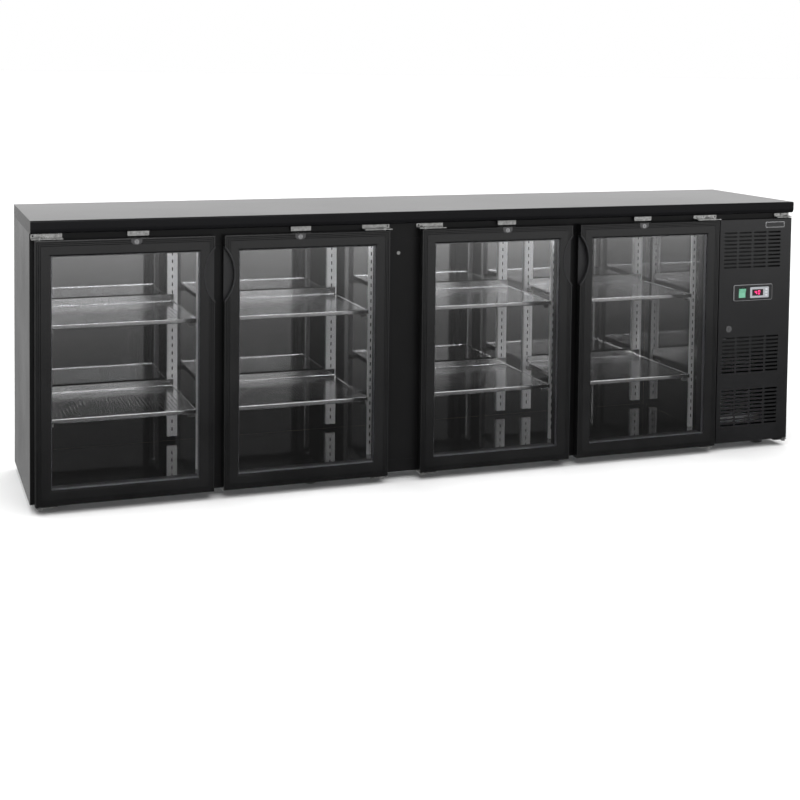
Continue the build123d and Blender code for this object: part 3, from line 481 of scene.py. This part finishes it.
# ---------------------------------------------------------------- thermostat display and badge
WINDOW_SIZE = (0.0432, 0.0006, 0.0212)
WINDOW_CORNER = 0.0012
WINDOW_TO_KEYS = 0.008
DIGIT_WIDE = 0.0062
DIGIT_HALF_TALL = 0.0062
DIGIT_START = 0.0115
DIGIT_PITCH = 0.0125
DIGIT_LEAN = 0.0005
DIGIT_PROUD = 0.0005
BAR_HALF_WIDE = 0.0009
BAR_DEPTH = 0.0003
BADGE_RIM = 0.002
BADGE_THICK = 0.0005
BADGE_CORNER = 0.0018


def segment(mesh, start, stop, y, half_wide, depth):
    """One pointed bar of a seven-segment digit, between two points in the X-Z plane."""
    along = Vector((stop[0] - start[0], 0, stop[1] - start[1]))
    step = along.normalized() * half_wide
    across = Vector((step.z, 0, -step.x))
    first = Vector((start[0], y, start[1])) + step * 0.3
    last = Vector((stop[0], y, stop[1])) - step * 0.3
    outline = [first, first + step + across, last - step + across]
    outline += [last, last - step - across, first + step - across]
    near = [mesh.verts.new(p) for p in outline]
    far = [mesh.verts.new(p + Vector((0, depth, 0))) for p in outline]
    mesh.faces.new(near)
    mesh.faces.new(list(reversed(far)))
    for index in range(6):
        after = (index + 1) % 6
        mesh.faces.new((near[after], near[index], far[index], far[after]))


DIGIT_BARS = {
    "top": ((0, 2), (1, 2)), "upper_left": ((0, 1), (0, 2)), "upper_right": ((1, 1), (1, 2)),
    "middle": ((0, 1), (1, 1)), "lower_left": ((0, 0), (0, 1)), "lower_right": ((1, 0), (1, 1)),
    "bottom": ((0, 0), (1, 0)),
}
DIGITS = {
    "4": ("upper_left", "upper_right", "middle", "lower_right"),
    "0": ("top", "upper_left", "upper_right", "lower_left", "lower_right", "bottom"),
}

def make_display():
    """The thermostat's dark window and the two lit digits behind it."""
    front_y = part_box("thermostat")[0].y
    keys = [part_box(name) for name in ("button_up", "button_set", "button_down")]
    middle_z = (keys[1][0].z + keys[1][1].z) / 2
    window_right = keys[0][0].x - WINDOW_TO_KEYS
    centre = (window_right - WINDOW_SIZE[0] / 2, front_y + WINDOW_SIZE[1], middle_z)
    window = bmesh.new()
    rounded_plate(window, centre, WINDOW_SIZE, WINDOW_CORNER)
    piece("display_window", window, "machine_door", MATERIALS["display_dark"])
    digits = bmesh.new()
    for place, symbol in enumerate("40"):
        digit_left = centre[0] - DIGIT_START + place * DIGIT_PITCH
        for bar in DIGITS[symbol]:
            ends = []
            for column, row in DIGIT_BARS[bar]:
                end_x = digit_left + column * DIGIT_WIDE + row * DIGIT_LEAN
                ends.append((end_x, middle_z + (row - 1) * DIGIT_HALF_TALL))
            segment(digits, ends[0], ends[1], centre[1] - DIGIT_PROUD, BAR_HALF_WIDE, BAR_DEPTH)
    piece("display_digits", digits, "machine_door", MATERIALS["display_red"])


def make_badge_face():
    """The dark face of the blank name plate, inside its pale edge."""
    low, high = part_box("badge_plate")
    mesh = bmesh.new()
    centre = ((low.x + high.x) / 2, low.y - 0.0001, (low.z + high.z) / 2)
    size = (high.x - low.x - 2 * BADGE_RIM, BADGE_THICK, high.z - low.z - 2 * BADGE_RIM)
    rounded_plate(mesh, centre, size, BADGE_CORNER)
    piece("badge_face", mesh, "machine_door", MATERIALS["badge_dark"])


make_display()
make_badge_face()


# ---------------------------------------------------------------- lock plates with a painted sheen, and the controls' rim, a painted highlight
PLATE_HALF = 0.016
PLATE_LOW = 0.0092
PLATE_THICK = 0.0014
PLATE_CHAMFER = 0.0005
PLATE_SHRINK = 0.94
PLATE_SIDES = 64
PLATE_LEAST_EDGE = 0.0004
BARREL_SPACE = 0.0003
BEZEL_CORNER = 0.004
CONTROL_RIM_INNER = 0.0042
# (how far out, how far back from the bezel's front) round the section of the controls' rim
CONTROL_RIM_SECTION = ((0.0, 0.0006), (0.0009, 0.0009), (0.0016, 0.002), (0.0016, 0.0046), (0.0, 0.0046))


def plate_reach(angle, above):
    """How far a lock plate reaches from its lock at an angle: flat top, sloped shoulders, round below."""
    across, upward = math.cos(angle), math.sin(angle)
    if upward > 0:
        return min(PLATE_HALF / max(abs(across), 1e-6), above / upward)
    return 1 / math.sqrt((across / PLATE_HALF) ** 2 + (upward / PLATE_LOW) ** 2)


def join_rings(mesh, rings):
    """Closes a loop of vertex rings into a tube."""
    for first, second in zip(rings, rings[1:] + rings[:1]):
        for index in range(len(first)):
            after = (index + 1) % len(first)
            mesh.faces.new((first[index], first[after], second[after], second[index]))
    bmesh.ops.recalc_face_normals(mesh, faces=mesh.faces)


def lock_plate(centre, radius, above):
    """A bevelled plate that faces -Y, with a round hole for the lock."""
    mesh = bmesh.new()
    outer = ((1.0, PLATE_THICK), (1.0, PLATE_CHAMFER), (PLATE_SHRINK, 0.0))
    rings = []
    for shrink, depth in outer + ((None, 0.0), (None, PLATE_THICK)):
        ring = []
        for step in range(PLATE_SIDES):
            angle = 2 * math.pi * (step + 0.5) / PLATE_SIDES
            reach = radius + BARREL_SPACE
            if shrink:
                reach = max(plate_reach(angle, above) * shrink, reach + PLATE_LEAST_EDGE)
            x = centre[0] + reach * math.cos(angle)
            z = centre[2] + reach * math.sin(angle)
            ring.append(mesh.verts.new((x, centre[1] + depth, z)))
        rings.append(ring)
    join_rings(mesh, rings)
    return mesh


def make_lock_plates():
    """A plate round each door's lock, hanging from the door's top edge, its black lifted to dark grey as a
    painted sheen.
    """
    for door in DOORS:
        door_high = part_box(f"{door}_frame")[1]
        low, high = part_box(f"{door}_lock")
        middle_z = low.z + (high.z - low.z) / 2
        radius = (high.z - low.z) / 2
        centre = (low.x + radius, low.y + PLATE_CHAMFER, middle_z)
        plate = lock_plate(centre, radius, door_high.z - middle_z - PLATE_LEAST_EDGE)
        piece(f"{door}_lock_plate", plate, door, MATERIALS["lock_plate"])


def make_control_rim():
    """A thin pale rim round the bezel of the controls: a painted highlight where its edges catch light."""
    low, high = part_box("control_bezel")
    mesh = bmesh.new()
    rings = []
    for grow, depth in CONTROL_RIM_SECTION:
        radius = CONTROL_RIM_INNER + grow
        ring = []
        for turn, (side_x, side_z) in enumerate(((1, 1), (-1, 1), (-1, -1), (1, -1))):
            corner_x = (high.x if side_x > 0 else low.x) - side_x * BEZEL_CORNER
            corner_z = (high.z if side_z > 0 else low.z) - side_z * BEZEL_CORNER
            for step in range(7):
                angle = math.pi / 2 * (turn + step / 6)
                x = corner_x + radius * math.cos(angle)
                z = corner_z + radius * math.sin(angle)
                ring.append(mesh.verts.new((x, low.y + depth, z)))
        rings.append(ring)
    join_rings(mesh, rings)
    piece("control_rim_highlight", mesh, "machine_door", MATERIALS["control_rim_highlight"])


make_lock_plates()
make_control_rim()


# ---------------------------------------------------------------- stage, light and camera
FLOOR_SIZE = 400.0
CAMERA_PLACE = (-1.671, -4.384, 1.290)
CAMERA_TURNS = (20.02, 3.07, 0.65)  # yaw, pitch and roll in degrees
CAMERA_LENS = 64.53  # in millimetres, over a sensor 36 mm wide
CAMERA_SHIFT = -0.32
# (degrees above the horizon, brightness) of the studio's walls
FRONT_WALL = [(-90, 0.1), (-30, 0.05), (-18, 0.05), (-13.5, 0.075), (-10, 0.23), (-7.5, 0.6), (-6, 1.05),
              (-4, 1.35), (4, 1.4), (9.6, 1.9), (10.6, 0.5), (12, 0.1), (40, 0.08), (90, 0.08)]
BACK_WALL = [(-90, 0.27), (-25, 0.36), (-8, 0.47), (0, 0.8), (3, 0.98), (12, 0.93), (20, 0.36), (90, 0.15)]


def make_floor():
    mesh = bmesh.new()
    half = FLOOR_SIZE / 2
    corners = ((-half, -half), (half, -half), (half, half), (-half, half))
    mesh.faces.new([mesh.verts.new((x, y, 0)) for x, y in corners])
    data = bpy.data.meshes.new("floor")
    mesh.to_mesh(data)
    mesh.free()
    floor = bpy.data.objects.new("floor", data)
    scene.collection.objects.link(floor)
    data.materials.append(coated("floor", (0.86, 0.86, 0.86), (0.88, 0.88, 0.88), (0.7, 0.8), 60.0, 0.0001))
    floor.visible_glossy = False
    floor.visible_transmission = False


def softbox(name, place, target, size, energy):
    """A rectangular lamp that points at a target."""
    lamp = bpy.data.lights.new(name, "AREA")
    lamp.shape = "RECTANGLE"
    lamp.size = size[0]
    lamp.size_y = size[1]
    lamp.energy = energy
    holder = bpy.data.objects.new(name, lamp)
    scene.collection.objects.link(holder)
    holder.location = place
    holder.rotation_euler = (Vector(target) - Vector(place)).to_track_quat("-Z", "Y").to_euler()


def daylight(name, strength):
    """Even soft light from above, which shiny surfaces don't mirror."""
    lamp = bpy.data.lights.new(name, "SUN")
    lamp.energy = strength
    lamp.angle = math.radians(100)
    holder = bpy.data.objects.new(name, lamp)
    scene.collection.objects.link(holder)
    holder.visible_glossy = False


def elevation_ramp(tree, height, stops):
    """How bright the studio is at each height, from (degrees above the horizon, brightness) pairs."""
    ramp = tree.nodes.new("ShaderNodeValToRGB")
    while len(ramp.color_ramp.elements) < len(stops):
        ramp.color_ramp.elements.new(0.5)
    for element, (degrees, brightness) in zip(ramp.color_ramp.elements, stops):
        element.position = 0.5 + 0.5 * math.sin(math.radians(degrees))
        element.color = (brightness, brightness, brightness, 1)
    link(tree, height, ramp.inputs["Fac"])
    return ramp.outputs["Color"]


def make_world():
    """A studio with bright walls round the horizon, brighter behind the fridge than in front."""
    world = bpy.data.worlds.new("studio")
    scene.world = world
    world.use_nodes = True
    tree = world.node_tree
    background = tree.nodes["Background"]
    parts = tree.nodes.new("ShaderNodeSeparateXYZ")
    link(tree, tree.nodes.new("ShaderNodeTexCoord").outputs["Generated"], parts.inputs["Vector"])
    height = tree.nodes.new("ShaderNodeMapRange")
    height.inputs["From Min"].default_value = -1.0
    link(tree, parts.outputs["Z"], height.inputs["Value"])
    front = elevation_ramp(tree, height.outputs["Result"], FRONT_WALL)
    back = elevation_ramp(tree, height.outputs["Result"], BACK_WALL)
    behind = tree.nodes.new("ShaderNodeMapRange")
    behind.inputs["From Min"].default_value = -0.2
    behind.inputs["From Max"].default_value = 0.3
    link(tree, parts.outputs["Y"], behind.inputs["Value"])
    walls = tree.nodes.new("ShaderNodeMix")
    walls.data_type = "RGBA"
    link(tree, behind.outputs["Result"], walls.inputs["Factor"])
    link(tree, front, walls.inputs["A"])
    link(tree, back, walls.inputs["B"])
    seen = tree.nodes.new("ShaderNodeMix")
    seen.data_type = "RGBA"
    link(tree, tree.nodes.new("ShaderNodeLightPath").outputs["Is Camera Ray"], seen.inputs["Factor"])
    link(tree, walls.outputs["Result"], seen.inputs["A"])
    seen.inputs["B"].default_value = (1, 1, 1, 1)
    link(tree, seen.outputs["Result"], background.inputs["Color"])


def make_camera():
    """The camera stands to the left of the fridge and above its worktop."""
    camera = bpy.data.cameras.new("camera")
    camera.sensor_width = 36.0
    camera.lens = CAMERA_LENS
    camera.shift_y = CAMERA_SHIFT
    camera.clip_end = 200.0
    holder = bpy.data.objects.new("camera", camera)
    scene.collection.objects.link(holder)
    yaw, pitch, roll = (math.radians(angle) for angle in CAMERA_TURNS)
    forward = Vector((math.sin(yaw) * math.cos(pitch), math.cos(yaw) * math.cos(pitch), -math.sin(pitch)))
    level = Vector((math.cos(yaw), -math.sin(yaw), 0))
    up = level.cross(forward)
    across = level * math.cos(roll) + up * math.sin(roll)
    above = up * math.cos(roll) - level * math.sin(roll)
    basis = Matrix((across, above, -forward)).transposed()
    holder.matrix_world = Matrix.Translation(CAMERA_PLACE) @ basis.to_4x4()
    scene.camera = holder


make_floor()
make_world()
daylight("ceiling_wash", strength=4.2)
softbox("front_fill", place=(-1.0, -4.5, 3.4), target=(0, 0, 0.3), size=(4.0, 1.5), energy=90)
make_camera()
